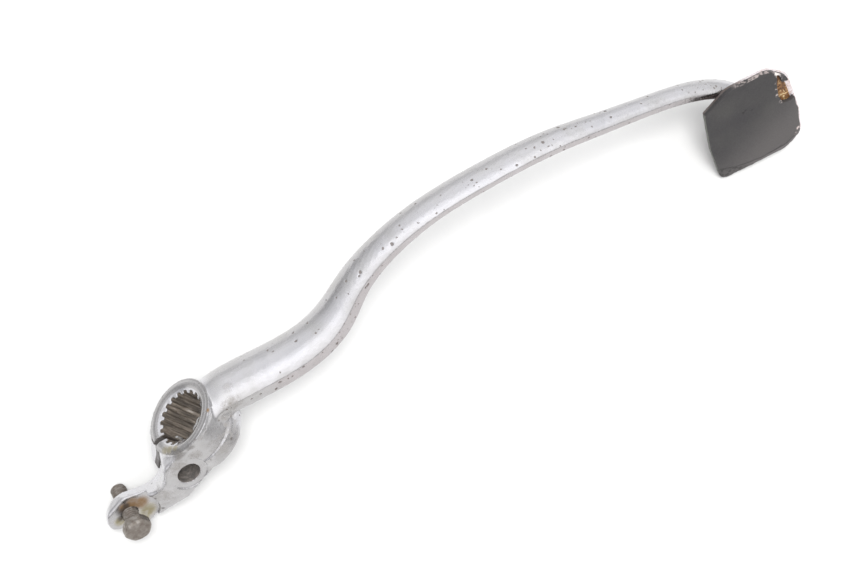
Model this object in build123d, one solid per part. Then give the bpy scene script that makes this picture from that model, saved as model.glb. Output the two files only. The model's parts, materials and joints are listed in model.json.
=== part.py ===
"""Rear brake pedal: a forged, chromed lever on a split splined hub, with a foot pad and a stop bolt.

The pieces are drawn in hub axes: the bore lies along Y, X runs forwards to the pad and Z is up on the
mounted pedal.  lay_down() then turns them all together, as the loose pedal rests on a flat surface.
"""
from build123d import *
import os

# ---------------------------------------------------------------- driving dimensions (mm, degrees)
# hub
HUB_R = 14.5                # both end rings
HUB_BODY_R = 13.9           # between the rings
HUB_LEN = 18.0
FRONT_RING = 2.2            # how far the front ring stands proud of the ears
REAR_RING = 6.0
RING_STEP_R = 13.3          # the front ring's rim is turned back outside this radius
RING_STEP = 0.35
EDGE_R = 0.6

# splined bore
SPLINE_TEETH = 19
SPLINE_ROOT_R = 10.2
SPLINE_TIP_R = 9.2
SPLINE_GROOVE = 1.7
BORE_MOUTH_R = 11.8            # wide countersink at both ends
BORE_MOUTH_DEPTH = 1.5

# clamp: a slot behind the bore and an ear on each side of it
SLOT = 2.0
NEAR_EAR_Z = 12.3
FAR_EAR_Z = -10.0
FAR_EAR_X = -22.5
EAR_DRAFT = 0.3             # forward lean of the ears' front faces, per unit of height
PINCH_X = -13.2
PINCH_Y = -2.0
PINCH_D = 8.4               # clearance for an M8 bolt
PINCH_SEAT_D = 14.0
PINCH_SEAT = 0.3

# stop arm, a flat blade behind the upper ear
BLADE_Z = 5.2               # top of the blade at the bolt's seat
BLADE_REAR_X = -49.4
RIDGE_R = 0.9                  # rounding where the blade's front meets its top
STOP_X = -40.2
STOP_Y = 1.0
STOP_SEAT_R = 10.8

# stop bolt, M6 x 20, screwed part of the way down
STOP_D = 6.0
STOP_GAP = 0.05             # radial running gap in the tapped hole
STOP_LEN = 20.0
STOP_HEAD_AF = 10.0
STOP_HEAD = 4.0
STOP_HEAD_R = 5.35          # the corners are worn back to this radius
STOP_HEAD_CHAMFER = 1.1
STOP_ABOVE_SEAT = 6.0
STOP_TIP = 0.8

# lever: centre line, height of the section, thickness of the section
LEVER = (
    ((9.0, 2.9, 0.0), 20.5, 11.6),
    ((19.6, -0.8, 0.0), 20.0, 13.3),
    ((36.5, -10.7, 0.0), 19.2, 13.2),
    ((50.2, -16.2, -0.3), 18.2, 12.6),
    ((61.3, -17.3, -1.3), 17.0, 12.0),
    ((74.2, -15.0, -2.3), 14.8, 10.1),
    ((89.6, -14.6, -2.5), 13.5, 8.8),
    ((111.3, -19.4, -2.5), 13.1, 7.4),
    ((134.4, -30.1, -2.5), 13.0, 6.9),
    ((155.9, -42.7, -2.5), 12.2, 7.0),
    ((175.7, -58.2, -2.6), 10.3, 6.6),
    ((196.4, -75.2, -3.0), 9.2, 6.2),
    ((209.5, -87.8, -2.8), 9.7, 6.4),
    ((216.6, -97.8, -1.2), 9.7, 6.0),
    ((219.8, -107.0, 0.7), 8.2, 5.6),
    ((220.6, -114.5, 1.9), 7.0, 5.4),
)
PARTING = -0.10             # parting line's place across the section, of half the thickness
SHOULDER = (0.84, 0.80)     # where the outer strip meets the back, of the half sizes

# foot pad: plan points are (forward, outboard) of PAD_TOP
PAD_TOP = (212.1, -111.1, 7.5)
PAD_YAW = -21.0
PAD_PITCH = -9.0
PLATE = 1.5
GLUE = 0.2
RUBBER = 2.2
RUBBER_OUTLINE = (
    (-15.9, -14.2), (-4.5, -20.6), (12.6, -20.2), (19.4, -13.4), (21.4, 5.0),
    (20.4, 18.6), (12.5, 22.4), (-16.2, 21.6), (-17.2, 3.0),
)
RUBBER_CORNERS = (1.0, 8.0, 7.0, 6.0, 10.0, 3.0, 8.0, 3.5, 20.0)
PLATE_OUTLINE = (
    (-15.3, -13.8), (-4.5, -19.9), (13.0, -19.6), (20.6, -12.5), (22.6, 8.0),
    (21.4, 20.6), (-15.6, 20.7), (-16.6, 3.0),
)
PLATE_CORNERS = (1.0, 8.0, 7.0, 6.0, 4.0, 4.0, 3.0, 20.0)
GLUE_INSET = 1.2
TORN_PATCH = (
    (15.6, -15.4), (16.8, -15.0), (16.8, -11.6), (24.0, -10.0), (24.0, -3.5),
    (18.6, -0.6), (15.6, -1.4), (14.4, -6.0), (14.8, -12.0),
)
BEAD_R = 2.2
INNER_BEAD = ((-0.4, -9.0), (6.0, 0.3))
OUTER_BEAD = ((3.5, -11.6), (9.8, -2.4))

# the direction, in hub axes, that points up when the loose pedal lies on a flat surface
UP_ON_BENCH = (0.375, 0.756, 0.537)


# ---------------------------------------------------------------- helpers
def bore_cylinder(radius, y_low, y_high):
    return Pos(0, (y_low + y_high) / 2, 0) * Rot(90, 0, 0) * Cylinder(radius, y_high - y_low)


def upright_cylinder(radius, x, y, z_low, z_high):
    return Pos(x, y, (z_low + z_high) / 2) * Cylinder(radius, z_high - z_low)


def block(x_low, x_high, y_low, y_high, z_low, z_high):
    middle = Pos((x_low + x_high) / 2, (y_low + y_high) / 2, (z_low + z_high) / 2)
    return middle * Box(x_high - x_low, y_high - y_low, z_high - z_low)


def face_from(*edges):
    return Face(Wire([e.edge() for e in edges]))


# ---------------------------------------------------------------- lever forging
def hub_blank():
    end = HUB_LEN / 2
    front = bore_cylinder(HUB_R, end - FRONT_RING, end) - (
        bore_cylinder(HUB_R + 1, end - RING_STEP, end + 1) - bore_cylinder(RING_STEP_R, end - 1, end + 1)
    )
    rear = bore_cylinder(HUB_R, -end, -end + REAR_RING)
    rear = fillet(rear.edges().group_by(Axis.Y)[0], EDGE_R)
    return front + bore_cylinder(HUB_BODY_R, -end, end - 0.5) + rear


def on_front_ridge(edge):
    """True for an edge where the blade's leaning front meets its top."""
    middle = edge.position_at(0.5)
    return middle.Z > BLADE_Z and middle.Y > 3 and middle.X < -25


def near_ear_and_blade():
    """Upper ear and stop arm: a leaning plan outline, trimmed by a side outline."""
    shoulder = HUB_LEN / 2 - FRONT_RING
    rear = -HUB_LEN / 2
    root = Line((-5, shoulder), (-12, shoulder))
    neck = Spline(
        (-12, shoulder), (-18.0, 2.8), (-25.4, -0.2), (-32.5, 3.8), (-39.8, 8.0),
        tangents=((-1, 0), (-1, 0)),
    )
    eye = ThreePointArc((-39.8, 8.0), (-46.9, 5.4), (BLADE_REAR_X, 0.3))
    tip = Line((BLADE_REAR_X, 0.3), (-46.8, -3.8))
    skew = Line((-46.8, -3.8), (-38.5, rear - 6))
    back = Line((-38.5, rear - 6), (-5, rear - 6))
    inside = Line((-5, rear - 6), (-5, shoulder))
    plan = face_from(root, neck, eye, tip, skew, back, inside)
    plan = Pos(0, 0, SLOT / 2) * extrude(plan, NEAR_EAR_Z + 2, dir=(0, EAR_DRAFT, 1))
    side = Polyline(
        (-5, SLOT / 2), (-60, SLOT / 2), (-60, BLADE_Z + 0.8), (-37, BLADE_Z + 0.8),
        (-21.5, NEAR_EAR_Z), (-5, NEAR_EAR_Z), close=True,
    )
    side = Plane.XZ * Face(Wire(side.edges()))
    side = extrude(side, 40, both=True)
    blade = (plan & side) & block(-60, 0, rear, HUB_LEN / 2 - 1.0, 0, 20)
    ridge = [edge for edge in blade.edges() if on_front_ridge(edge)]
    return fillet(ridge, RIDGE_R)


def far_ear():
    shoulder = HUB_LEN / 2 - FRONT_RING
    rear = -HUB_LEN / 2
    front = Spline((-12, shoulder), (-17.0, 3.4), (FAR_EAR_X, -0.6), tangents=((-1, 0), (-1, -0.6)))
    plan = face_from(
        Line((-5, shoulder), (-12, shoulder)), front,
        Line((FAR_EAR_X, -0.6), (FAR_EAR_X, rear)), Line((FAR_EAR_X, rear), (-5, rear)),
        Line((-5, rear), (-5, shoulder)),
    )
    ear = Pos(0, 0, FAR_EAR_Z) * extrude(plan, -FAR_EAR_Z - SLOT / 2, dir=(0, 0, 1))
    low_edge = ear.edges().filter_by(Axis.Y).group_by(Axis.X)[0].sort_by(Axis.Z)[0]
    return fillet(low_edge, 5.0)


def lever_section(station, tangent):
    centre, height, thickness = station
    outward = Vector(tangent.Y, -tangent.X, 0).normalized()
    plane = Plane(origin=centre, x_dir=outward, z_dir=outward.cross(Vector(0, 0, 1)))
    h = height / 2
    t = thickness / 2
    top = (PARTING * t, h)
    low = (PARTING * t, -h)
    high_shoulder = (SHOULDER[0] * t, SHOULDER[1] * h)
    low_shoulder = (SHOULDER[0] * t, -SHOULDER[1] * h)
    return plane * face_from(
        ThreePointArc(low, (-t, 0), top), Line(top, high_shoulder),
        ThreePointArc(high_shoulder, (t, 0), low_shoulder), Line(low_shoulder, low),
    )


def lever_arm():
    centre_line = Spline(*[station[0] for station in LEVER])
    sections = []
    for station in LEVER:
        tangent = centre_line.tangent_at(Vector(*station[0]))
        sections.append(lever_section(station, tangent))
    return loft(sections)


def splined_bore():
    end = HUB_LEN / 2
    bore = bore_cylinder(SPLINE_TIP_R, -end - 1, end + 1)
    groove_depth = SPLINE_ROOT_R - SPLINE_TIP_R + 1
    groove = Box(groove_depth, HUB_LEN + 2, SPLINE_GROOVE)
    groove = Pos(SPLINE_ROOT_R - groove_depth / 2, 0, 0) * groove
    for tooth in range(SPLINE_TEETH):
        bore += Rot(0, (tooth + 0.5) * 360 / SPLINE_TEETH, 0) * groove
    mouth = Cone(SPLINE_TIP_R, BORE_MOUTH_R, BORE_MOUTH_DEPTH)
    mouth = Pos(0, end - BORE_MOUTH_DEPTH / 2, 0) * Rot(-90, 0, 0) * mouth
    return bore + mouth + mirror(mouth, Plane.XZ)


def pad_plane(drop):
    """Plane parallel to the pad, this far below its top."""
    return Plane(Location(PAD_TOP) * Rot(0, 0, PAD_YAW) * Rot(0, PAD_PITCH, 0) * Pos(0, 0, -drop))


def lever_forging():
    forging = hub_blank() + near_ear_and_blade() + far_ear() + lever_arm()
    slot = block(-HUB_R - 12, 0, -HUB_LEN, HUB_LEN, -SLOT / 2, SLOT / 2)
    pinch = upright_cylinder(PINCH_D / 2, PINCH_X, PINCH_Y, -30, 30)
    near_seat = upright_cylinder(PINCH_SEAT_D / 2, PINCH_X, PINCH_Y, NEAR_EAR_Z - PINCH_SEAT, 30)
    stop_hole = upright_cylinder(STOP_D / 2 + STOP_GAP, STOP_X, STOP_Y, -30, 30)
    stop_seat = upright_cylinder(STOP_SEAT_R, STOP_X, STOP_Y, BLADE_Z, 30)
    forging -= [splined_bore(), slot, pinch, near_seat, stop_hole, stop_seat, pad_envelope()]
    return forging


# ---------------------------------------------------------------- foot pad
def pad_slab(outline, corners, drop, thickness, inset=0.0):
    """A slab of this outline whose top is this far below the pad's top."""
    points = [(forward, -outboard) for forward, outboard in outline]
    edge = FilletPolyline(*points, radius=corners, close=True)
    face = Face(Wire(edge.edges()))
    if inset:
        face = offset(face, -inset)
    return pad_plane(drop) * extrude(face, thickness, dir=(0, 0, -1))


def pad_envelope():
    """Everything from the plate's underside upwards."""
    return pad_slab(PLATE_OUTLINE, PLATE_CORNERS, -12, 12 + RUBBER + GLUE + PLATE)


def pad_rubber():
    """The grip, with one forward corner torn away down to the glue."""
    patch = Polyline(*[(forward, -outboard) for forward, outboard in TORN_PATCH], close=True)
    patch = pad_plane(-1) * extrude(Face(Wire(patch.edges())), RUBBER + 2, dir=(0, 0, -1))
    return pad_slab(RUBBER_OUTLINE, RUBBER_CORNERS, 0, RUBBER) - patch


def pad_glue():
    return pad_slab(RUBBER_OUTLINE, RUBBER_CORNERS, RUBBER, GLUE, GLUE_INSET)


def pad_plate():
    return pad_slab(PLATE_OUTLINE, PLATE_CORNERS, RUBBER + GLUE, PLATE)


def pad_bead(ends):
    """Weld in the corner between the lever's tip and the underside of the plate."""
    underside = pad_plane(RUBBER + GLUE + PLATE)
    start, stop = [underside.from_local_coords(Vector(forward, -outboard, 0)) for forward, outboard in ends]
    run = stop - start
    bead = Plane(origin=(start + stop) / 2, z_dir=run) * Cylinder(BEAD_R, run.length)
    bead += Pos(*start) * Sphere(BEAD_R)
    bead += Pos(*stop) * Sphere(BEAD_R)
    return bead - pad_envelope() - lever_arm()


# ---------------------------------------------------------------- stop bolt
def stop_bolt():
    bottom = BLADE_Z + STOP_ABOVE_SEAT - STOP_LEN
    shank = upright_cylinder(STOP_D / 2, STOP_X, STOP_Y, bottom, bottom + STOP_LEN)
    shank = chamfer(shank.edges().group_by(Axis.Z)[0], STOP_TIP)
    hexagon = extrude(RegularPolygon(STOP_HEAD_AF / 2, 6, major_radius=False), STOP_HEAD)
    worn = Pos(0, 0, STOP_HEAD / 2) * Cylinder(STOP_HEAD_R, STOP_HEAD)
    worn = chamfer(worn.edges().group_by(Axis.Z)[-1], STOP_HEAD_CHAMFER)
    return shank + Pos(STOP_X, STOP_Y, bottom + STOP_LEN) * (hexagon & worn)


# ---------------------------------------------------------------- resting on the bench
def bench_plane():
    """Origin at the middle of the bore, Z straight up from the bench, X from the hub towards the pad."""
    up = Vector(*UP_ON_BENCH).normalized()
    to_pad = Vector(*PAD_TOP)
    return Plane(origin=(0, 0, 0), x_dir=to_pad - up * to_pad.dot(up), z_dir=up)


def lay_down(piece):
    return bench_plane().to_local_coords(piece)


if __name__ == "__main__":
    os.makedirs("parts", exist_ok=True)
    pieces = {
        "lever_forging": lever_forging(),
        "pad_plate": pad_plate(),
        "pad_glue": pad_glue(),
        "pad_rubber": pad_rubber(),
        "pad_bead_inner": pad_bead(INNER_BEAD),
        "pad_bead_outer": pad_bead(OUTER_BEAD),
        "stop_bolt": stop_bolt(),
    }
    for name, piece in pieces.items():
        export_step(lay_down(piece), f"parts/{name}.step")
        print(name, round(piece.volume))
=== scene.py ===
import json
import math

import bmesh
import bpy
import numpy as np
from mathutils import Matrix, Vector


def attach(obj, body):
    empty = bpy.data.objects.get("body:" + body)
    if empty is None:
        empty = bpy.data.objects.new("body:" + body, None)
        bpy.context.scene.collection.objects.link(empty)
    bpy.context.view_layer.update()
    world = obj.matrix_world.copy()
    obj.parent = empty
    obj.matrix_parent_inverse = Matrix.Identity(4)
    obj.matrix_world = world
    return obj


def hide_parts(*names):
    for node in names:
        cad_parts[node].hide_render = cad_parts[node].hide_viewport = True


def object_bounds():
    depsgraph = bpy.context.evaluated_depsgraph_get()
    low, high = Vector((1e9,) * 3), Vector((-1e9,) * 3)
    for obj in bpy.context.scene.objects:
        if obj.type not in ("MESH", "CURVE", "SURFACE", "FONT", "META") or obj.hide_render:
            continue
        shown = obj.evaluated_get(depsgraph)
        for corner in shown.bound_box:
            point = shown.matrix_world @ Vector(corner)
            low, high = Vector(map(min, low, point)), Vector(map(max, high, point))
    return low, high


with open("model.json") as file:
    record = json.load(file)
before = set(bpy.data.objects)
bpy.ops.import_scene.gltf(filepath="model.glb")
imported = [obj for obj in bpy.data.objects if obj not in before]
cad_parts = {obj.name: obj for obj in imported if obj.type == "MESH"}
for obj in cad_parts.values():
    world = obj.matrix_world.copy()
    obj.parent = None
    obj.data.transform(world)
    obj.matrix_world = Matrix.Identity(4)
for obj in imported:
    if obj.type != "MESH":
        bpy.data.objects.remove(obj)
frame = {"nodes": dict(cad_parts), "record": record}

# A worn rear brake pedal on a pale floor.  Sizes are in mm in hub axes (X forwards, Y along the bore,
# Z up on the mounted pedal), which the record's mounts place in the row frame.
MM = 0.001
SEED = 11
MOUNTS = {mount["name"]: mount for mount in frame["record"]["mounts"]}
HUB_Y = Vector(MOUNTS["spline_bore"]["axis"]).normalized()
HUB_Z = Vector(MOUNTS["pinch_bolt_hole"]["axis"]).normalized()
HUB_X = HUB_Y.cross(HUB_Z)
HUB = np.array((HUB_X, HUB_Y, HUB_Z))
PAD_YAW = math.radians(-21.0)
PAD_PITCH = math.radians(-9.0)
UP = Vector((0, 0, 1))

cad_low, cad_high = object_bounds()


# ---------------------------------------------------------------- places
def to_row(points):
    """Hub-axes mm to row-frame metres, for one point or an array of them."""
    return np.asarray(points, float) @ HUB * MM


def to_hub(points):
    return np.asarray(points, float) @ HUB.T / MM


def hub_direction(x, y, z):
    return Vector(np.array((x, y, z)) @ HUB).normalized()


PAD_TOP = np.array(MOUNTS["pad_top"]["pos_m"])
PAD_NORMAL = np.array(Vector(MOUNTS["pad_top"]["axis"]).normalized())
PAD_FORWARD = np.array(hub_direction(
    math.cos(PAD_YAW) * math.cos(PAD_PITCH), math.sin(PAD_YAW) * math.cos(PAD_PITCH), -math.sin(PAD_PITCH)))
PAD_OUTBOARD = np.cross(PAD_FORWARD, PAD_NORMAL)
PAD = np.array((PAD_FORWARD, PAD_OUTBOARD, PAD_NORMAL))


def to_pad(points):
    """Row-frame metres to (forward, outboard, above the pad's top) in mm."""
    return (np.asarray(points, float) - PAD_TOP) @ PAD.T / MM


def from_pad(points):
    return np.asarray(points, float) @ PAD * MM + PAD_TOP


# ---------------------------------------------------------------- noise on arrays of points
def hash_grid(cells, seed):
    """A repeatable value from 0 to 1 for each integer cell."""
    n = (cells[:, 0] * 73856093) ^ (cells[:, 1] * 19349663) ^ (cells[:, 2] * 83492791) ^ (seed * 2654435)
    n = (n ^ (n >> 13)) * 1274126177 & 0x7FFFFFFF
    n = (n ^ (n >> 16)) * 374761393 & 0x7FFFFFFF
    return (n & 0xFFFF) / 65535.0


def value_noise(points, size, seed=SEED):
    """Smooth noise from -1 to 1 whose lumps are about this size."""
    p = np.asarray(points, float) / size + 1000.0
    base = np.floor(p).astype(np.int64)
    f = p - base
    f = f * f * (3 - 2 * f)
    total = np.zeros(len(p))
    for corner in np.ndindex(2, 2, 2):
        weight = np.ones(len(p))
        for axis in range(3):
            weight *= f[:, axis] if corner[axis] else 1 - f[:, axis]
        total += weight * hash_grid(base + corner, seed)
    return total * 2 - 1


def fractal(points, size, octaves=3, seed=SEED):
    total = np.zeros(len(points))
    for k in range(octaves):
        total += value_noise(points, size / 2 ** k, seed + k) / 2 ** k
    return total / (2 - 2 ** (1 - octaves))


def smoothstep(x, low, high):
    t = np.clip((x - low) / (high - low), 0, 1)
    return t * t * (3 - 2 * t)


def blobs(points, places):
    """Soft spots: each place is ((x, y, z), radius), and the value falls from 1 to 0 over the radius."""
    value = np.zeros(len(points))
    for centre, radius in places:
        distance = np.linalg.norm(points - np.array(centre), axis=1)
        value = np.maximum(value, 1 - smoothstep(distance, radius * 0.35, radius))
    return value


# ---------------------------------------------------------------- meshes
def link(name, mesh):
    piece = bpy.data.objects.new(name, mesh)
    bpy.context.scene.collection.objects.link(piece)
    for polygon in mesh.polygons:
        polygon.use_smooth = True
    return piece


def skin(node, name, voxel):
    """An evenly remeshed copy of a CAD node, to be worked on as a piece of its own."""
    copy = bpy.data.objects.new(name, frame["nodes"][node].data.copy())
    bpy.context.scene.collection.objects.link(copy)
    remesh = copy.modifiers.new("Remesh", "REMESH")
    remesh.mode = "VOXEL"
    remesh.voxel_size = voxel * MM
    graph = bpy.context.evaluated_depsgraph_get()
    mesh = bpy.data.meshes.new_from_object(copy.evaluated_get(graph))
    bpy.data.objects.remove(copy)
    mesh.name = name
    mesh.materials.clear()
    return link(name, mesh)


def points_of(piece):
    flat = np.zeros(len(piece.data.vertices) * 3)
    piece.data.vertices.foreach_get("co", flat)
    return flat.reshape(-1, 3)


def normals_of(piece):
    flat = np.zeros(len(piece.data.vertices) * 3)
    piece.data.vertices.foreach_get("normal", flat)
    return flat.reshape(-1, 3)


def set_points(piece, points):
    piece.data.vertices.foreach_set("co", np.ascontiguousarray(points).ravel())
    piece.data.update()


def paint(piece, name, values):
    """Stores one number per vertex for a material to read."""
    layer = piece.data.attributes.new(name, "FLOAT", "POINT")
    layer.data.foreach_set("value", np.clip(values, 0, 1).astype(np.float32))


def remember_place(piece, hub):
    """Keeps each vertex's hub-axes place for a material to read."""
    layer = piece.data.attributes.new("hub_place", "FLOAT_VECTOR", "POINT")
    layer.data.foreach_set("vector", hub.astype(np.float32).ravel())


def relax(piece, rounds, weight):
    """Laplacian smoothing, as strong at each vertex as its weight."""
    edges = np.zeros(len(piece.data.edges) * 2, np.int64)
    piece.data.edges.foreach_get("vertices", edges)
    a, b = edges.reshape(-1, 2).T
    points = points_of(piece)
    count = np.bincount(a, minlength=len(points)) + np.bincount(b, minlength=len(points))
    for _ in range(rounds):
        mean = np.empty_like(points)
        for axis in range(3):
            column = points[:, axis]
            mean[:, axis] = np.bincount(a, column[b], len(points)) + np.bincount(b, column[a], len(points))
        mean /= count[:, None]
        points = points + (mean - points) * (0.5 * weight)[:, None]
    set_points(piece, points)


def stand_for(piece, body, node):
    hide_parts(node)
    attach(piece, body)


# ---------------------------------------------------------------- materials
WOBBLE = 0.5                # mm, the grain that shakes the places of pits


class Shader:
    """A material and short ways to add nodes to it."""

    def __init__(self, name, metallic, roughness, specular=0.5):
        self.material = bpy.data.materials.new(name)
        self.material.use_nodes = True
        self.tree = self.material.node_tree
        self.surface = self.tree.nodes["Principled BSDF"]
        self.surface.inputs["Metallic"].default_value = metallic
        self.surface.inputs["Roughness"].default_value = roughness
        self.surface.inputs["Specular IOR Level"].default_value = specular
        self.place = self.node("ShaderNodeTexCoord").outputs["Object"]

    def node(self, kind, **settings):
        made = self.tree.nodes.new(kind)
        for key, value in settings.items():
            setattr(made, key, value)
        return made

    def feed(self, socket, value):
        if isinstance(value, bpy.types.NodeSocket):
            self.tree.links.new(value, socket)
        elif isinstance(value, tuple) and len(value) == 3:
            socket.default_value = (*value, 1.0)
        else:
            socket.default_value = value

    def noise(self, size, detail=4.0, roughness=0.55, distortion=0.0):
        """Noise from 0 to 1 whose lumps are about this many mm."""
        made = self.node("ShaderNodeTexNoise")
        self.feed(made.inputs["Vector"], self.place)
        made.inputs["Scale"].default_value = 1 / (size * MM)
        made.inputs["Detail"].default_value = detail
        made.inputs["Roughness"].default_value = roughness
        made.inputs["Distortion"].default_value = distortion
        return made.outputs["Fac"]

    def cells(self, size, shake=0.35):
        """Distance to the nearest of many scattered points about this many mm apart, in a shaken space."""
        wobble = self.node("ShaderNodeTexNoise")
        self.feed(wobble.inputs["Vector"], self.place)
        wobble.inputs["Scale"].default_value = 1 / (WOBBLE * MM)
        wobble.inputs["Detail"].default_value = 3.0
        centred = self.node("ShaderNodeVectorMath", operation="SUBTRACT")
        self.feed(centred.inputs[0], wobble.outputs["Color"])
        centred.inputs[1].default_value = (0.5, 0.5, 0.5)
        scaled = self.node("ShaderNodeVectorMath", operation="SCALE")
        self.feed(scaled.inputs[0], centred.outputs["Vector"])
        scaled.inputs["Scale"].default_value = 2 * shake * size * MM
        shaken = self.node("ShaderNodeVectorMath", operation="ADD")
        self.feed(shaken.inputs[0], self.place)
        self.feed(shaken.inputs[1], scaled.outputs["Vector"])
        made = self.node("ShaderNodeTexVoronoi")
        self.feed(made.inputs["Vector"], shaken.outputs["Vector"])
        made.inputs["Scale"].default_value = 1 / (size * MM)
        return made.outputs["Distance"], made.outputs["Color"]

    def stretched(self, size, scale, detail=4.0, roughness=0.6):
        """Noise in hub axes, drawn out along an axis by a small scale for it."""
        place = self.node("ShaderNodeAttribute", attribute_name="hub_place").outputs["Vector"]
        squeezed = self.node("ShaderNodeVectorMath", operation="MULTIPLY")
        self.feed(squeezed.inputs[0], place)
        squeezed.inputs[1].default_value = scale
        made = self.node("ShaderNodeTexNoise")
        self.feed(made.inputs["Vector"], squeezed.outputs["Vector"])
        made.inputs["Scale"].default_value = 1 / size
        made.inputs["Detail"].default_value = detail
        made.inputs["Roughness"].default_value = roughness
        return made.outputs["Fac"]

    def attribute(self, name):
        return self.node("ShaderNodeAttribute", attribute_name=name).outputs["Fac"]

    def math(self, operation, a, b=0.0):
        made = self.node("ShaderNodeMath", operation=operation)
        self.feed(made.inputs[0], a)
        self.feed(made.inputs[1], b)
        return made.outputs["Value"]

    def band(self, value, low, high, out_low=0.0, out_high=1.0):
        """Value carried smoothly from low..high to out_low..out_high."""
        made = self.node("ShaderNodeMapRange", interpolation_type="SMOOTHSTEP")
        self.feed(made.inputs["Value"], value)
        made.inputs["From Min"].default_value = low
        made.inputs["From Max"].default_value = high
        made.inputs["To Min"].default_value = out_low
        made.inputs["To Max"].default_value = out_high
        return made.outputs["Result"]

    def mix(self, amount, a, b):
        made = self.node("ShaderNodeMix", data_type="RGBA")
        self.feed(made.inputs["Factor"], amount)
        self.feed(made.inputs[6], a)
        self.feed(made.inputs[7], b)
        return made.outputs[2]

    def ramp(self, value, stops):
        made = self.node("ShaderNodeValToRGB")
        self.feed(made.inputs["Fac"], value)
        points = made.color_ramp.elements
        while len(points) < len(stops):
            points.new(0.5)
        for point, (position, colour) in zip(points, stops):
            point.position = position
            point.color = (*colour, 1.0)
        return made.outputs["Color"]

    def colour(self, value):
        self.feed(self.surface.inputs["Base Color"], value)

    def rough(self, value):
        self.feed(self.surface.inputs["Roughness"], value)

    def metal(self, value):
        self.feed(self.surface.inputs["Metallic"], value)

    def bump(self, *layers):
        """Each layer is (height socket, depth in mm); heights are 0 to 1."""
        normal = None
        for height, depth in layers:
            made = self.node("ShaderNodeBump")
            made.inputs["Strength"].default_value = 1.0
            made.inputs["Distance"].default_value = depth * MM
            self.feed(made.inputs["Height"], height)
            if normal:
                self.feed(made.inputs["Normal"], normal)
            normal = made.outputs["Normal"]
        self.feed(self.surface.inputs["Normal"], normal)


CHROME = (
    (0.3, (0.60, 0.595, 0.60)), (0.55, (0.655, 0.65, 0.675)), (0.75, (0.61, 0.61, 0.635)),
)
# dark brown streaks inside the bore: grime, and painted shade
BORE_GRIME_AND_SHADE = (
    (0.32, (0.050, 0.042, 0.036)), (0.48, (0.13, 0.11, 0.09)),
    (0.60, (0.24, 0.20, 0.165)), (0.72, (0.46, 0.42, 0.38)),
)
FROSTED = (0.36, 0.35, 0.37)
SIDE_SHADE_TONE = (0.37, 0.36, 0.35)
TOP_SHADE_TONE = (0.36, 0.35, 0.345)
TRIM_REFLECTION_TONE = (0.44, 0.39, 0.40)
STAINED = (0.19, 0.172, 0.155)
OCHRE = (0.36, 0.31, 0.16)
RUSTED = (0.20, 0.115, 0.045)
DIRT_AND_SHADE_TONE = (0.050, 0.040, 0.034)
PITTED = (0.10, 0.075, 0.062)
PIT_SPACING = 1.5


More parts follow.
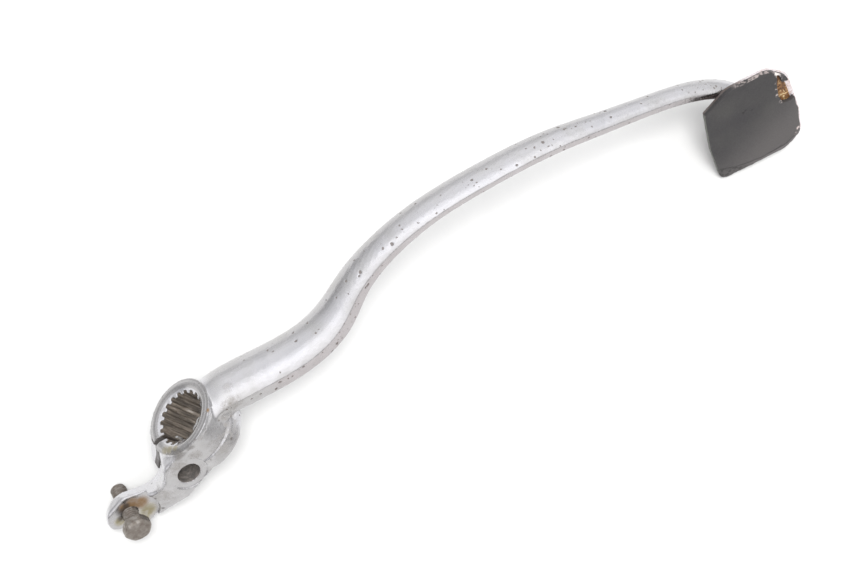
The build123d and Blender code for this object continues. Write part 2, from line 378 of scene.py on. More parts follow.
def worn_chrome():
    """Dulled chrome with a fine speckle, pits, dirt and rust where the forging is painted with them;
    painted shade darkens some faces, the slot and the bore, and a painted reflection tints the strip under
    the parting line.
    """
    s = Shader("worn_chrome", metallic=1.0, roughness=0.3)
    cloud = s.noise(9.0, 3.0)
    speckle = s.noise(0.7, 3.0, 0.7)
    grime = s.noise(2.6, 6.0, 0.65, distortion=0.6)
    metal = s.ramp(cloud, CHROME)
    flecks = s.band(speckle, 0.55, 0.72, 0.0, 0.45)
    metal = s.mix(s.math("MULTIPLY", flecks, s.attribute("frosted")), metal, FROSTED)

    distance, shade = s.cells(PIT_SPACING)
    pick = s.node("ShaderNodeSeparateColor")
    s.feed(pick.inputs["Color"], shade)
    chosen = s.math("LESS_THAN", pick.outputs["Red"], s.band(s.attribute("pitting"), 0.0, 1.0, 0.02, 0.6))
    width = s.band(pick.outputs["Green"], 0.0, 1.0, 0.14, 0.30)
    pit = s.math("MULTIPLY", s.math("LESS_THAN", distance, width), chosen)
    pit = s.math("MAXIMUM", pit, s.band(s.attribute("pit"), 0.30, 0.7))

    stain = s.math("MULTIPLY", s.attribute("stain"), s.band(grime, 0.34, 0.64))
    rust = s.math("MULTIPLY", s.attribute("rust"), s.band(grime, 0.22, 0.55, 0.7, 1.0))
    # dirt in the bolt seat, and painted shade in the slot and the ring's recess
    dirt_and_shade = s.math("MULTIPLY", s.attribute("dirt_and_shade"), s.band(grime, 0.2, 0.6, 0.6, 1.0))
    ochre = s.math("MULTIPLY", s.attribute("ochre"), s.band(grime, 0.3, 0.6, 0.5, 1.0))
    bore = s.attribute("bore")
    streak = s.stretched(1.1, (1.0, 0.12, 1.0), 5.0, 0.65)
    toothed = s.ramp(streak, BORE_GRIME_AND_SHADE)

    # painted shade: the arm's faces turned one way are darkened to a warm grey
    colour = s.mix(s.math("MULTIPLY", s.attribute("side_shade"), 0.52), metal, SIDE_SHADE_TONE)
    # painted shade: faces turned up in hub axes and the ring's end face are darkened
    colour = s.mix(s.math("MULTIPLY", s.attribute("top_shade"), 0.9), colour, TOP_SHADE_TONE)
    # the trimmed band below the parting line; its pinkish grey is partly a painted reflection
    colour = s.mix(s.math("MULTIPLY", s.attribute("trim_and_reflection"), 0.45), colour, TRIM_REFLECTION_TONE)
    stain = s.math("MULTIPLY", stain, s.band(s.noise(0.6, 4.0, 0.7), 0.35, 0.6, 0.45, 1.0))
    colour = s.mix(s.math("MULTIPLY", stain, 0.8), colour, STAINED)
    colour = s.mix(s.math("MULTIPLY", ochre, 0.75), colour, OCHRE)
    colour = s.mix(s.math("MULTIPLY", rust, 0.95), colour, RUSTED)
    colour = s.mix(bore, colour, toothed)
    # dirt in the bolt seat and small spots, with painted shade in the slot and the ring's recess
    colour = s.mix(s.math("MULTIPLY", dirt_and_shade, 0.9), colour, DIRT_AND_SHADE_TONE)
    colour = s.mix(s.math("MULTIPLY", pit, 0.8), colour, PITTED)
    s.colour(colour)

    dull = s.math("MAXIMUM", s.math("MAXIMUM", stain, rust), s.math("MAXIMUM", dirt_and_shade, pit))
    dull = s.math("MAXIMUM", dull, s.math("MULTIPLY", bore, 0.8))
    s.metal(s.band(dull, 0.1, 1.0, 1.0, 0.25))
    fresh = s.band(s.noise(4.0, 5.0), 0.3, 0.75, 0.20, 0.32)
    s.rough(s.math("MAXIMUM", fresh, s.math("MULTIPLY", s.math("MAXIMUM", dull, ochre), 0.62)))
    scratch = s.stretched(0.5, (0.12, 1.0, 1.0), 2.0, 0.5)
    trimmed = s.math("MULTIPLY", s.stretched(0.8, (1.0, 0.2, 0.2), 2.0), s.attribute("trim_and_reflection"))
    frost = s.math("MULTIPLY", speckle, s.attribute("frosted"))
    hollow = s.math("SUBTRACT", 1.0, pit)
    s.bump((s.noise(3.5, 3.0), 0.05), (frost, 0.05), (scratch, 0.008), (trimmed, 0.10), (hollow, 0.10))
    return s.material


PLATING = (
    (0.30, (0.30, 0.19, 0.15)), (0.40, (0.62, 0.52, 0.50)), (0.55, (0.80, 0.75, 0.77)),
)


def plated_plate():
    s = Shader("plated_plate", metallic=0.85, roughness=0.4)
    wear = s.noise(1.6, 6.0, 0.65)
    colour = s.ramp(wear, PLATING)
    # darker at the plate's rear and on its lower part
    colour = s.mix(s.attribute("darker_rear_and_below"), colour, (0.085, 0.068, 0.060))
    s.colour(colour)
    s.metal(s.band(wear, 0.3, 0.5, 0.2, 0.6))
    s.rough(s.band(wear, 0.3, 0.6, 0.75, 0.4))
    s.bump((wear, 0.08))
    return s.material


GLUE_TONES = (
    (0.38, (0.055, 0.026, 0.014)), (0.52, (0.19, 0.090, 0.032)),
    (0.60, (0.40, 0.26, 0.11)), (0.68, (0.72, 0.66, 0.46)),
)


def old_glue():
    s = Shader("old_glue", metallic=0.0, roughness=0.5)
    clump = s.noise(2.4, 6.0, 0.6, distortion=1.0)
    s.colour(s.ramp(clump, GLUE_TONES))
    s.rough(s.band(clump, 0.3, 0.7, 0.8, 0.35))
    s.bump((clump, 0.25), (s.noise(0.5), 0.08))
    return s.material


def worn_rubber():
    """Charcoal rubber with a painted sheen that lightens it towards one corner, whitened and torn along its
    rim.
    """
    s = Shader("worn_rubber", metallic=0.0, roughness=0.62, specular=0.45)
    cloud = s.noise(11.0, 4.0)
    grain = s.noise(0.45, 4.0, 0.7)
    colour = s.ramp(cloud, ((0.3, (0.030, 0.028, 0.030)), (0.7, (0.043, 0.041, 0.040))))
    # painted sheen: lighter towards the pad's forward outboard corner
    colour = s.mix(s.math("MULTIPLY", s.attribute("painted_sheen"), 0.8), colour, (0.088, 0.081, 0.080))
    dust = s.math("MULTIPLY", s.band(s.noise(0.8, 6.0, 0.7), 0.55, 0.75), s.attribute("dust"))
    colour = s.mix(s.math("MULTIPLY", dust, 0.45), colour, (0.17, 0.155, 0.15))
    colour = s.mix(s.math("MULTIPLY", s.attribute("lip"), 0.6), colour, (0.13, 0.12, 0.12))
    colour = s.mix(s.math("MULTIPLY", s.attribute("wall"), 0.85), colour, (0.135, 0.14, 0.125))
    torn = s.math("MULTIPLY", s.attribute("torn"), s.band(s.noise(1.3, 6.0, 0.7), 0.44, 0.60))
    colour = s.mix(torn, colour, (0.55, 0.47, 0.45))
    bare = s.math("MULTIPLY", s.attribute("bare"), s.band(s.noise(0.8, 5.0, 0.7), 0.30, 0.45))
    colour = s.mix(bare, colour, (0.74, 0.69, 0.66))
    # painted shade in the crease, the dents and the crumbled rear lip
    colour = s.mix(s.attribute("crease_shade"), colour, (0.020, 0.018, 0.018))
    s.colour(colour)
    s.rough(s.band(grain, 0.3, 0.7, 0.50, 0.72))
    s.bump((grain, 0.04), (s.noise(3.0, 3.0), 0.06))
    return s.material


STEEL_TONES = (
    (0.32, (0.15, 0.125, 0.105)), (0.5, (0.25, 0.225, 0.20)), (0.68, (0.36, 0.335, 0.31)),
)


def dirty_steel():
    s = Shader("dirty_steel", metallic=0.9, roughness=0.45)
    grime = s.noise(1.6, 6.0, 0.6)
    colour = s.ramp(grime, STEEL_TONES)
    packed = s.attribute("packed")
    colour = s.mix(s.math("MULTIPLY", packed, 0.8), colour, (0.085, 0.066, 0.054))
    s.colour(colour)
    s.metal(s.math("MULTIPLY", s.band(grime, 0.3, 0.55, 0.5, 0.9), s.band(packed, 0.0, 1.0, 1.0, 0.35)))
    s.rough(s.band(grime, 0.3, 0.65, 0.60, 0.40))
    s.bump((grime, 0.06), (s.noise(0.5, 3.0), 0.03))
    return s.material


def weld_metal():
    s = Shader("weld_metal", metallic=1.0, roughness=0.38)
    scale = s.noise(1.2, 5.0, 0.6)
    s.colour(s.ramp(scale, ((0.35, (0.22, 0.17, 0.13)), (0.6, (0.55, 0.53, 0.52)))))
    s.rough(s.band(scale, 0.3, 0.7, 0.6, 0.3))
    s.bump((scale, 0.12))
    return s.material


def pale_floor():
    s = Shader("pale_floor", metallic=0.0, roughness=0.6, specular=0.2)
    tone = s.noise(60.0, 3.0)
    s.colour(s.ramp(tone, ((0.35, (0.65, 0.65, 0.645)), (0.65, (0.68, 0.68, 0.675)))))
    s.bump((s.noise(1.5, 4.0), 0.02))
    return s.material


# ---------------------------------------------------------------- lever forging
ROOT_BLEND = (
    ((12.5, 5.5, 0.0), 8.5), ((14.0, 5.0, 7.0), 8.5), ((14.0, 5.0, -7.0), 8.0),
    ((15.5, -6.0, 0.0), 8.5), ((12.5, -4.0, 9.0), 8.0), ((12.5, 1.0, 9.5), 7.0),
    ((-12.0, 7.5, 8.0), 3.5),
)
BLADE_RIDGE = (
    ((-16.0, 7.5, 12.2), 4.0), ((-18.0, 5.8, 12.2), 4.5), ((-21.5, 3.8, 12.3), 5.0),
    ((-25.0, 2.4, 10.8), 5.0), ((-28.8, 3.4, 9.3), 5.0), ((-32.0, 5.5, 8.1), 4.5),
    ((-35.0, 8.0, 6.8), 4.5), ((-38.5, 8.0, 6.0), 4.0), ((-42.0, 8.0, 6.0), 4.5),
    ((-45.6, 8.0, 6.0), 5.5), ((-48.2, 5.3, 6.0), 5.5), ((-49.4, 1.8, 6.0), 5.0),
    ((-47.5, -3.0, 5.5), 4.5), ((-45.6, 8.0, 1.0), 5.0), ((-48.2, 5.3, 1.0), 5.0),
    ((-49.0, 1.0, 1.0), 4.5),
)
BIG_PITS = (
    ((80.1, -11.0, 1.7), 1.1), ((78.8, -11.6, 2.2), 0.8), ((78.2, -15.8, 4.2), 1.2),
    ((77.0, -15.6, 4.6), 0.8), ((32.2, -9.8, 9.1), 0.8), ((28.7, -11.0, 8.2), 0.9),
    ((72.0, -11.6, 1.5), 0.6), ((79.4, -10.6, 2.6), 0.8), ((164.0, -44.7, -4.1), 0.9),
    ((179.7, -57.6, -4.0), 0.9), ((156.7, -39.6, 0.0), 1.0), ((144.5, -34.4, 2.8), 0.9),
    ((130.2, -24.7, 0.2), 0.7), ((95.1, -12.9, 2.6), 1.0), ((173.5, -52.3, -1.5), 0.8),
    ((179.5, -58.0, -0.1), 0.8), ((190.7, -66.7, -1.5), 0.8), ((168.5, -48.1, -1.3), 0.8),
    ((74.2, -10.3, -0.1), 0.8), ((47.3, -8.9, -1.8), 0.8), ((46.2, -8.6, 2.3), 0.8),
    ((53.1, -10.5, -1.3), 0.7), ((32.1, -9.3, 9.2), 0.9), ((50.9, -21.2, 7.0), 0.9),
    ((54.5, -20.4, 7.0), 0.9), ((24.8, -6.2, 9.0), 0.8), ((21.6, -4.4, 9.0), 0.8),
    ((41.2, -13.4, 9.1), 0.8), ((67.2, -11.2, 0.7), 0.6), ((63.7, -11.1, -2.4), 0.6),
    ((178.0, -56.1, -3.8), 0.7), ((165.8, -45.9, -2.1), 0.7),
)


THICK_PITTING = (
    ((158.0, -41.0, -4.0), 14.0), ((172.0, -52.0, -1.0), 10.0), ((128.0, -23.5, 0.0), 7.0),
)
ROOT_STAINS = (
    ((15.1, 2.0, 10.1), 4.5), ((17.5, 1.2, 10.1), 4.5), ((-13.0, 4.0, 12.0), 5.0),
    ((20, 4.4, 5.4), 2.6), ((10.7, -1.0, 8.8), 5.0), ((12.0, -4.0, 8.5), 5.0),
    ((-5.3, 2.4, 12.8), 3.5), ((-25.2, 2.0, 10.8), 3.0),
)
HUB_STAINS = (((3.0, -3.0, 14.0), 7.0), ((-27.0, -2.0, 9.6), 6.5), ((8.0, -4.0, 12.0), 7.0))
RING_STAINS = (
    ((-8.2, 7.6, 12.4), 3.2), ((-2.5, 7.2, 13.6), 2.2), ((2.4, 7.0, 13.8), 2.0), ((-12, 8, 8.9), 2.0),
)
SIDE_STAINS = (
    ((7.0, -5.4, 12.7), 1.6), ((5.4, -5.8, 13.4), 1.4), ((3.6, -6.2, 14.0), 1.6), ((1.6, -6.9, 14.4), 1.4),
)
RUST_SPOTS = (
    ((-34.6, 0.6, 5.2), 4.2), ((-36.0, 3.4, 5.2), 4.0), ((-38.9, 5.0, 5.4), 3.0), ((11.0, 8.6, 9.5), 1.1),
    ((-45.0, -2.0, 5.2), 2.0),
)
SEAT_OCHRE = (((-36.5, -4.5, 5.2), 4.6), ((-44.5, 2.0, 5.2), 3.0), ((-40.0, -5.5, 5.2), 3.5))
RING_OCHRE = (((-9.6, 9.0, 7.9), 2.2), ((-11.4, 9.0, 6.2), 2.0), ((-7.2, 9.0, 9.6), 1.8))
SEAT_DIRT = (((-40.5, 4.0, 5.2), 3.2), ((-43.0, 2.6, 5.2), 2.4), ((-38.0, 4.8, 5.2), 2.0))
SMALL_DIRT = (
    ((5.7, 6.9, 13.3), 0.7), ((6.2, -5.6, 13.1), 0.8), ((-32.0, -7.1, 8.0), 1.0), ((-29, 0, 9.3), 0.8),
)
# painted shade in the recess behind the ring
RECESS_SHADE = (((-8.6, 8.0, 11.8), 3.0), ((-6.8, 7.1, 12.8), 2.6), ((-3.1, 7.4, 14.1), 2.2))
HUB_HALF = 9.0
HUB_END = 9.2               # just past the hub's end faces
RING_FROM = 6.6
RING_R = 14.6
MOUTH_R, MOUTH_WIDTH, MOUTH_DEPTH = 11.8, 2.6, 1.5
PINCH_X, PINCH_Y, PINCH_R = -13.2, -2.0, 4.2
SLOT_REAR = -22.7
SHADED_SIDE = (0.07, 0.69, -0.72)     # the way that the arm faces where painted shade darkens it
PIT_DEPTH = 0.25


def lever_body():
    """The forging: blended corners, a forged surface with pits, and paint for the material to read."""
    piece = skin("lever_forging", "lever_body", 0.30)
    hub = to_hub(points_of(piece))
    bore = np.hypot(hub[:, 0], hub[:, 2])
    at_hub = np.abs(hub[:, 1]) < HUB_END
    at_ring = at_hub * (hub[:, 1] > RING_FROM)
    clear_of_wall = np.where(at_hub, smoothstep(bore, 12.0, 13.0), 1.0)
    clear = np.where(at_ring, smoothstep(bore, RING_R, RING_R + 0.8), clear_of_wall)
    relax(piece, 1, np.full(len(hub), 0.5))
    relax(piece, 45, np.maximum(blobs(hub, ROOT_BLEND) * clear, 0.8 * blobs(hub, BLADE_RIDGE)))

    points = points_of(piece)
    hub = to_hub(points)
    normals = normals_of(piece)
    pits = smoothstep(blobs(hub, BIG_PITS) + 0.8 * fractal(hub, 0.9), 0.45, 0.95)
    forged = fractal(hub, 7.0, 3) * 0.045 + fractal(hub, 1.6, 2, SEED + 5) * 0.010
    lift = forged * smoothstep(bore, 9.5, 14.0) - PIT_DEPTH * pits
    set_points(piece, points + normals * (lift * MM)[:, None])

    facing = normals @ HUB.T
    x, y, z = hub.T
    on_arm = smoothstep(x, 24, 34)
    mouth = HUB_HALF - MOUTH_DEPTH * (MOUTH_R - bore) / MOUTH_WIDTH
    in_bore = (1 - smoothstep(bore, 10.35, 10.7)) * (1 - smoothstep(np.abs(y) - mouth, -0.35, -0.15))
    # painted shade: the pinch slot's walls
    slot_shade = (np.abs(z) < 1.4) * (x < -9.0) * (x > SLOT_REAR) * (np.abs(facing[:, 2]) > 0.6)
    from_pinch = np.hypot(x - PINCH_X, y - PINCH_Y)
    in_pinch = (1 - smoothstep(from_pinch, PINCH_R, PINCH_R + 0.2)) * (np.abs(z) > 1.0)
    # the trimmed flash band below the parting line: real trim marks in the bump, and a pinkish grey that is
    # a painted reflection
    strip = on_arm * smoothstep(facing[:, 2], 0.72, 0.88) * smoothstep(-facing[:, 1], -0.05, 0.12)
    # painted shade: faces of the arm turned this way are darkened
    side_shade = smoothstep(facing @ np.array(SHADED_SIDE), 0.15, 0.95)
    upward = smoothstep(facing[:, 2], 0.60, 0.95)
    # painted shade also on the far ear's front face seen past the near ear, and over a glint at the slot's
    # root
    far_front = (z < 0) * (z > -4.2) * (x < -13.6) * (x > SLOT_REAR) * (y > -1) * (facing[:, 1] > 0.5)
    slot_root = (bore < 12.5) * (np.abs(z) < 1.25) * (x < -8.0) * (np.abs(y) < 8.4)
    slot_shade = np.maximum.reduce((slot_shade, far_front, slot_root)).astype(float)
    remember_place(piece, hub)
    paint(piece, "pit", pits)
    patchy = 0.10 + 0.22 * smoothstep(fractal(hub, 14.0, 2), 0.0, 0.5)
    pitted_strip = 0.45 * strip * (1 - smoothstep(x, 62, 80))
    paint(piece, "pitting", 0.06 + 0.20 * blobs(hub, ROOT_BLEND) + on_arm * (
        0.40 * blobs(hub, THICK_PITTING) + 0.60 * smoothstep(x, 196, 208) + patchy + pitted_strip))
    paint(piece, "frosted", on_arm * smoothstep(x, 40, 75) * (0.6 + 0.4 * fractal(hub, 18.0, 2)) + 0.12)
    paint(piece, "trim_and_reflection", strip)
    paint(piece, "side_shade", side_shade * smoothstep(x, 10, 22))
    # painted shade: faces turned up in hub axes, and the ring's end face, are darkened
    paint(piece, "top_shade", np.maximum(
        upward * (0.75 + 0.25 * fractal(hub, 3.0)), 0.8 * (bore < RING_R) * (y > 8.5)))
    # the bore and pinch-hole walls are painted dark brown: grime, and painted shade inside the holes
    paint(piece, "bore", np.maximum(in_bore, 0.8 * in_pinch))
    paint(piece, "stain", np.maximum.reduce((
        blobs(hub, ROOT_STAINS), 0.8 * blobs(hub, HUB_STAINS), 0.75 * blobs(hub, RING_STAINS),
        0.7 * blobs(hub, SIDE_STAINS), 0.3 * on_arm * smoothstep(fractal(hub, 5.0), 0.3, 0.8))))
    paint(piece, "rust", blobs(hub, RUST_SPOTS))
    paint(piece, "ochre", np.maximum(blobs(hub, SEAT_OCHRE), 0.75 * blobs(hub, RING_OCHRE)))
    # dirt in the seat and small spots, and painted shade in the ring's recess and in the slot
    paint(piece, "dirt_and_shade", np.maximum.reduce((
        blobs(hub, SEAT_DIRT), 0.8 * blobs(hub, SMALL_DIRT),
        0.5 * blobs(hub, RECESS_SHADE), 0.95 * slot_shade)))
    piece.data.materials.append(worn_chrome())
    stand_for(piece, "lever", "lever_forging")
    return piece


# ---------------------------------------------------------------- foot pad
def rim_share(flat):
    """0 at the pad's middle to 1 at its rim, and the direction from the middle."""
    centre = np.array((2.5, 0.8))
    arm = flat - centre
    angle = np.arctan2(arm[:, 1], arm[:, 0])
    reach = np.hypot(arm[:, 0], arm[:, 1])
    bins = np.round((angle + math.pi) / (2 * math.pi) * 360).astype(int) % 360
    edge = np.zeros(360)
    np.maximum.at(edge, bins, reach)
    edge = np.maximum(np.maximum(edge, np.roll(edge, 1)), np.roll(edge, -1))
    return reach / edge[bins], arm / np.maximum(reach, 1e-6)[:, None]


def ragged(pad, depth, seed):
    """Pulls the rim of a flat piece inwards by an uneven amount."""
    share, outwards = rim_share(pad[:, :2])
    rough = 0.5 + 0.5 * fractal(np.column_stack((pad[:, :2], pad[:, 2] * 1.5)), 3.2, 4, seed)
    pull = depth * rough * smoothstep(share, 0.86, 1.0)
    moved = pad.copy()
    moved[:, :2] -= outwards * pull[:, None]
    return moved, share


# places on the pad are (forward, outboard, above its top)
CREASE = (
    (-16.0, 15.4), (-10.9, 17.2), (-5.5, 18.9), (1.0, 20.0),
    (7.7, 20.2), (13.6, 19.7), (18.1, 17.2), (21, 14),
)
SLIT = (
    ((15.9, -19.8, 0.0), 1.1), ((15.9, -18.4, 0.0), 1.2),
    ((15.7, -16.8, 0.0), 1.2), ((16.2, -15.6, 0.0), 1.3),
)
CHIP_RIM = (
    ((14.9, -12.4, -0.5), 1.3), ((14.2, -9.5, -0.5), 1.2), ((14.0, -6.6, -0.5), 1.2),
    ((14.8, -2.6, -0.5), 1.1), ((16.6, -13.9, -0.5), 1.2),
)
DENTS = (((-1.0, -7.0, 0.0), 0.9), ((0.2, -7.6, 0.0), 0.7), ((2.7, -6.2, 0.0), 0.6))
WHOLE_RIM = (((20.5, 6.0, -1.0), 3.0),)
SIDE_TEARS = (
    ((19.4, 15.1, -0.3), 1.3), ((17.9, 17.3, -0.3), 1.2), ((20.6, 12.2, -0.3), 1.0),
    ((21.8, 7.1, -0.3), 0.9), ((21.3, 4.6, -0.3), 0.8),
)


def grip_rubber():
    """The grip: a ragged rim, a crease along its outboard edge, a slit and a few dents."""
    piece = skin("pad_rubber", "grip_rubber", 0.26)
    relax(piece, 2, np.full(len(piece.data.vertices), 0.8))
    pad = to_pad(points_of(piece))
    low_lip = smoothstep(pad[:, 1], 16.5, 19.5)
    right_lip = smoothstep(pad[:, 0], 16.0, 19.0) * smoothstep(pad[:, 1], -1.0, 3.0)
    moved, share = ragged(pad, 0.05 + 0.25 * low_lip + 0.60 * right_lip, SEED + 20)
    top = smoothstep(moved[:, 2], -1.2, -0.15)
    u, v = moved[:, 0], moved[:, 1]
    past = v - np.interp(u, *zip(*CREASE)) - 0.35 * fractal(moved, 3.0)
    crease = np.exp(-(past / 0.38) ** 2) * (0.65 + 0.35 * fractal(moved, 2.0, 2, SEED + 8))
    lip = smoothstep(past, 0.2, 0.7)
    dent = blobs(moved, DENTS)
    slit = blobs(moved, SLIT)
    crumbs = 0.5 + 0.5 * fractal(moved, 1.0, 3, SEED + 3)
    crumbled_rim = crumbs * smoothstep(share, 0.93, 1.0) * np.maximum(low_lip, right_lip)
    rear_lip = lip * (1 - smoothstep(u, -9.0, -3.0))
    sink = 0.10 + 0.06 * fractal(moved, 7.0) + 0.12 * smoothstep(share, 0.75, 1.0)
    sink += 0.45 * crease + 0.25 * lip + 0.20 * dent + 0.8 * slit
    sink += 0.30 * crumbled_rim + 0.35 * rear_lip * crumbs
    moved[:, 2] -= top * sink
    set_points(piece, from_pad(moved))
    facing = normals_of(piece) @ PAD.T
    upper = smoothstep(-v, 13.0, 18.0) * smoothstep(u, -3.0, 1.0)
    rim = smoothstep(share, 0.972, 0.992) * (1 - smoothstep(moved[:, 2], -0.1, 0.0))
    torn_side = right_lip * rim * (1 - blobs(moved, WHOLE_RIM))
    paint(piece, "torn", np.maximum.reduce((
        0.6 * upper * rim, 0.9 * blobs(moved, CHIP_RIM), 0.9 * blobs(moved, SIDE_TEARS), 0.9 * torn_side)))
    paint(piece, "bare", slit)
    paint(piece, "dust", 0.2 + 0.8 * smoothstep(share, 0.88, 1.0))
    paint(piece, "lip", lip * smoothstep(u, -6.0, 2.0))
    paint(piece, "wall", smoothstep(-facing[:, 0], 0.5, 0.8) * smoothstep(-u, 8.0, 11.0))
    # painted sheen: the rubber lightens towards its forward outboard corner
    paint(piece, "painted_sheen", smoothstep(0.45 * u + 0.89 * v, -3.0, 19.0))
    # painted shade in the crease, the dents and the crumbled rear lip
    paint(piece, "crease_shade", np.maximum.reduce((
        0.85 * crease, 0.6 * dent, 0.7 * rear_lip * smoothstep(crumbs, 0.5, 0.7))))
    piece.data.materials.append(worn_rubber())
    stand_for(piece, "lever", "pad_rubber")
    return piece


def foot_plate():
    piece = skin("pad_plate", "foot_plate", 0.30)
    relax(piece, 3, np.ones(len(piece.data.vertices)))
    moved, share = ragged(to_pad(points_of(piece)), 0.15, SEED + 40)
    set_points(piece, from_pad(moved))
    near_grip = smoothstep(moved[:, 2], -3.9, -3.6)
    # darker at the rear and on the lower part, away from the grip
    paint(piece, "darker_rear_and_below", np.maximum(1 - smoothstep(moved[:, 0], -2.0, 6.0), 1 - near_grip) * 0.9)
    piece.data.materials.append(plated_plate())
    stand_for(piece, "lever", "pad_plate")
    return piece


def glue_layer():
    """The adhesive; it only shows where the rubber is torn, and stands up in lumps there."""
    piece = skin("pad_glue", "glue_layer", 0.10)
    pad = to_pad(points_of(piece))
    exposed = blobs(pad, (((18.5, -6.0, -2.2), 6.5), ((16.0, -11.0, -2.2), 4.0)))
    lumps = 0.5 + 0.5 * fractal(pad, 1.5, 4, SEED + 60)
    pad[:, 2] += exposed * smoothstep(pad[:, 2], -2.35, -2.2) * (0.15 + 0.7 * lumps)
    set_points(piece, from_pad(pad))
    piece.data.materials.append(old_glue())
    stand_for(piece, "lever", "pad_glue")
    return piece


def weld_bead(node, name):
    piece = skin(node, name, 0.22)
    relax(piece, 2, np.ones(len(piece.data.vertices)))
    points = points_of(piece)
    pad = to_pad(points)
    along = pad[:, 0] * 0.57 + pad[:, 1] * 0.82
    ripple = 0.10 * np.sin(along * 2 * math.pi / 1.6) + 0.08 * fractal(pad, 1.2)
    set_points(piece, points - normals_of(piece) * (0.12 - ripple * 0.9)[:, None].clip(0) * MM)
    piece.data.materials.append(weld_metal())
    stand_for(piece, "lever", node)
    return piece


# ---------------------------------------------------------------- stop bolt
BOLT_X, BOLT_Y, BOLT_SEAT = -40.2, 1.0, 11.2
BOLT_R, BOLT_CORE, PITCH, SHANK = 2.97, 2.56, 1.0, 20.0
HEAD_FLAT, HEAD_ROUND, HEAD_TALL = 5.0, 5.33, 4.0
HEAD_SHARPNESS = 9.0        # how squarely the worn corners of the hexagon turn
RINGS_PER_PITCH = 10
TIP_CHAMFER = 0.75


def revolve(name, rows, sectors):
    """A closed tube of rings, ring by ring from (radius at each angle, height at each angle)."""
    mesh = bmesh.new()
    rings = []
    angles = np.arange(sectors) * 2 * math.pi / sectors
    for radius, height in rows(angles):
        local = np.column_stack((radius * np.cos(angles), radius * np.sin(angles), height))
        local += np.array((BOLT_X, BOLT_Y, BOLT_SEAT))
        rings.append([mesh.verts.new(p) for p in to_row(local)])
    for low, high in zip(rings, rings[1:]):
        for k in range(sectors):
            mesh.faces.new((low[k], low[(k + 1) % sectors], high[(k + 1) % sectors], high[k]))
    mesh.faces.new(list(reversed(rings[0])))
    mesh.faces.new(rings[-1])
    bmesh.ops.triangulate(mesh, faces=[f for f in mesh.faces if len(f.verts) > 4])
    bmesh.ops.recalc_face_normals(mesh, faces=mesh.faces)
    data = bpy.data.meshes.new(name)
    mesh.to_mesh(data)
    mesh.free()
    return link(name, data)


def bolt_rows(angles):
    """Shank from its tip up, with a helical thread, then the worn hexagon head."""
    steps = int(SHANK / (PITCH / RINGS_PER_PITCH))
    for k in range(steps + 1):
        height = -SHANK + k * SHANK / steps
        turn = (height / PITCH - angles / (2 * math.pi)) % 1.0
        ridge = np.clip(1 - np.abs(turn - 0.5) * 2.3, 0, 1)
        fade = smoothstep(height, -SHANK, -SHANK + 0.9) * (1 - smoothstep(height, -1.0, -0.2))
        neck = 0.85 if height > -0.6 else 0.0
        radius = BOLT_CORE + (BOLT_R - BOLT_CORE) * (ridge * fade + neck * (1 - fade))
        tip = TIP_CHAMFER * (1 - smoothstep(height, -SHANK - 0.1, -SHANK + TIP_CHAMFER))
        if k == 0:
            for share in (0.35, 0.7):
                yield np.full(len(angles), (BOLT_CORE - TIP_CHAMFER) * share), np.full(len(angles), height)
        yield radius - tip, np.full(len(angles), height)
    sector = (angles + math.pi / 6) % (math.pi / 3) - math.pi / 6
    hexagon = HEAD_FLAT / np.cos(sector)
    for height in np.concatenate((np.linspace(0.0, 0.4, 4), np.linspace(0.6, HEAD_TALL, 26))):
        limit = HEAD_ROUND - 1.6 * max(0.0, height - (HEAD_TALL - 0.95)) - 1.2 * max(0.0, 0.25 - height)
        rounded = hexagon ** -HEAD_SHARPNESS + limit ** -HEAD_SHARPNESS
        radius = rounded ** (-1 / HEAD_SHARPNESS)
        radius = radius * 1.012 + 0.03 * np.sin(3 * angles + 1.0) * (height / HEAD_TALL)
        yield np.minimum(radius, limit), np.full(len(angles), height)
    for share in (0.93, 0.8, 0.6, 0.4, 0.2):
        yield radius * share, np.full(len(angles), HEAD_TALL - 0.10 * (1 - share) ** 0.5)


def adjusting_bolt():
    piece = revolve("adjusting_bolt", bolt_rows, 96)
    local = to_hub(points_of(piece)) - np.array((BOLT_X, BOLT_Y, BOLT_SEAT))
    radius = np.hypot(local[:, 0], local[:, 1])
    shank = 1 - smoothstep(local[:, 2], -0.6, 0.1)
    in_thread = 0.35 + 0.65 * (1 - smoothstep(radius, 2.6, 2.9))
    head_top = 0.55 * smoothstep(local[:, 2], 3.6, 3.85) * (1 - smoothstep(radius, 3.6, 4.9))
    packed = np.maximum(shank * in_thread * (0.6 + 0.4 * fractal(local, 1.5)), head_top)
    paint(piece, "packed", packed)
    piece.data.materials.append(dirty_steel())
    stand_for(piece, "stop_bolt", "stop_bolt")
    return piece


# ---------------------------------------------------------------- floor, light and camera
CAMERA_AT = (174.85, 349.19, 386.40)
CAMERA_RIGHT = (0.6478, -0.6010, 0.4681)
CAMERA_UP = (0.7460, 0.3763, -0.5494)
CAMERA_LENS = 62.79
CAMERA_SENSOR = 36.0


def camera():
    """The camera, placed and turned in hub axes; gives back its up direction."""
    data = bpy.data.cameras.new("camera")
    data.lens = CAMERA_LENS
    data.sensor_width = CAMERA_SENSOR
    data.clip_start = 0.01
    data.clip_end = 20.0
    made = bpy.data.objects.new("camera", data)
    right = hub_direction(*CAMERA_RIGHT)
    up = hub_direction(*CAMERA_UP)
    turn = Matrix((right, up, right.cross(up))).transposed()
    made.matrix_world = Matrix.Translation(Vector(to_row(CAMERA_AT))) @ turn.to_4x4()
    bpy.context.scene.collection.objects.link(made)
    bpy.context.scene.camera = made
    return up


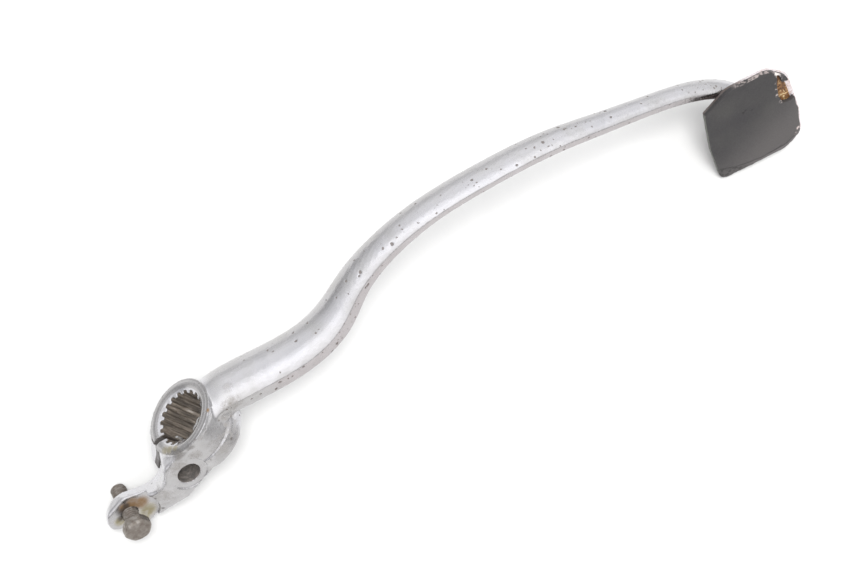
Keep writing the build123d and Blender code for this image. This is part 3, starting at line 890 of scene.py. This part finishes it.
def floor(low):
    mesh = bmesh.new()
    bmesh.ops.create_grid(mesh, x_segments=8, y_segments=8, size=4.0)
    data = bpy.data.meshes.new("floor")
    mesh.to_mesh(data)
    mesh.free()
    made = link("floor", data)
    made.location = (0.1, 0.0, low - 0.0001)
    made.data.materials.append(pale_floor())


def softbox(name, target, direction, distance, size, watts, colour):
    """A soft light that lights the floor but isn't seen in the metal, which reflects the studio's walls."""
    data = bpy.data.lights.new(name, "AREA")
    data.shape = "RECTANGLE"
    data.size, data.size_y = size
    data.energy = watts
    data.color = colour
    made = bpy.data.objects.new(name, data)
    direction = Vector(direction).normalized()
    made.location = target + direction * distance
    made.rotation_mode = "QUATERNION"
    made.rotation_quaternion = direction.to_track_quat("Z", "Y")
    made.visible_glossy = False
    bpy.context.scene.collection.objects.link(made)


STUDIO_BASE = 0.50
STUDIO_CEILING = 0.46
STUDIO_WINDOW = 0.75
STUDIO_FAR_WALL = 0.33
WINDOW_SIDE, WINDOW_NEAR, WINDOW_LEVEL, WINDOW_HEIGHT = 0.643, 0.766, 0.53, 0.848
KEY_NEAR = 0.14             # how far the key light leans towards the camera
KEY_DISTANCE = 1.3
KEY_SIZE = (0.5, 0.5)
KEY_WATTS = 13.0
KEY_COLOUR = (1.0, 0.995, 0.985)


def studio(ahead, side):
    """Pale walls and ceiling, brightest overhead on the near right and on the far wall."""
    world = bpy.data.worlds.new("studio")
    bpy.context.scene.world = world
    world.use_nodes = True
    tree = world.node_tree
    place = tree.nodes.new("ShaderNodeTexCoord").outputs["Generated"]
    window = (side * WINDOW_SIDE - ahead * WINDOW_NEAR) * WINDOW_LEVEL + UP * WINDOW_HEIGHT
    total = None
    for towards, low, high, amount in (
        (UP, 0.0, 0.85, STUDIO_CEILING),
        (window, 0.50, 1.0, STUDIO_WINDOW),
        (ahead, 0.3, 0.95, STUDIO_FAR_WALL),
    ):
        along = tree.nodes.new("ShaderNodeVectorMath")
        along.operation = "DOT_PRODUCT"
        along.inputs[1].default_value = towards
        tree.links.new(place, along.inputs[0])
        share = tree.nodes.new("ShaderNodeMapRange")
        share.interpolation_type = "SMOOTHSTEP"
        share.inputs["From Min"].default_value = low
        share.inputs["From Max"].default_value = high
        share.inputs["To Max"].default_value = amount
        tree.links.new(along.outputs["Value"], share.inputs["Value"])
        add = tree.nodes.new("ShaderNodeMath")
        add.inputs[1].default_value = STUDIO_BASE
        tree.links.new(share.outputs["Result"], add.inputs[0])
        if total:
            tree.links.new(total, add.inputs[1])
        total = add.outputs["Value"]
    background = tree.nodes["Background"]
    background.inputs["Color"].default_value = (0.99, 0.99, 1.0, 1.0)
    tree.links.new(total, background.inputs["Strength"])


def lighting(up):
    ahead = (up - UP * up.dot(UP)).normalized()
    side = ahead.cross(UP)
    middle = (cad_low + cad_high) / 2
    softbox("key", middle, UP - ahead * KEY_NEAR, KEY_DISTANCE, KEY_SIZE, KEY_WATTS, KEY_COLOUR)
    studio(ahead, side)
    bpy.context.scene.view_settings.view_transform = "Standard"


lever_body()
grip_rubber()
foot_plate()
glue_layer()
weld_bead("pad_bead_inner", "bead_inner")
weld_bead("pad_bead_outer", "bead_outer")
adjusting_bolt()
camera_up = camera()
floor(cad_low.z)
lighting(camera_up)
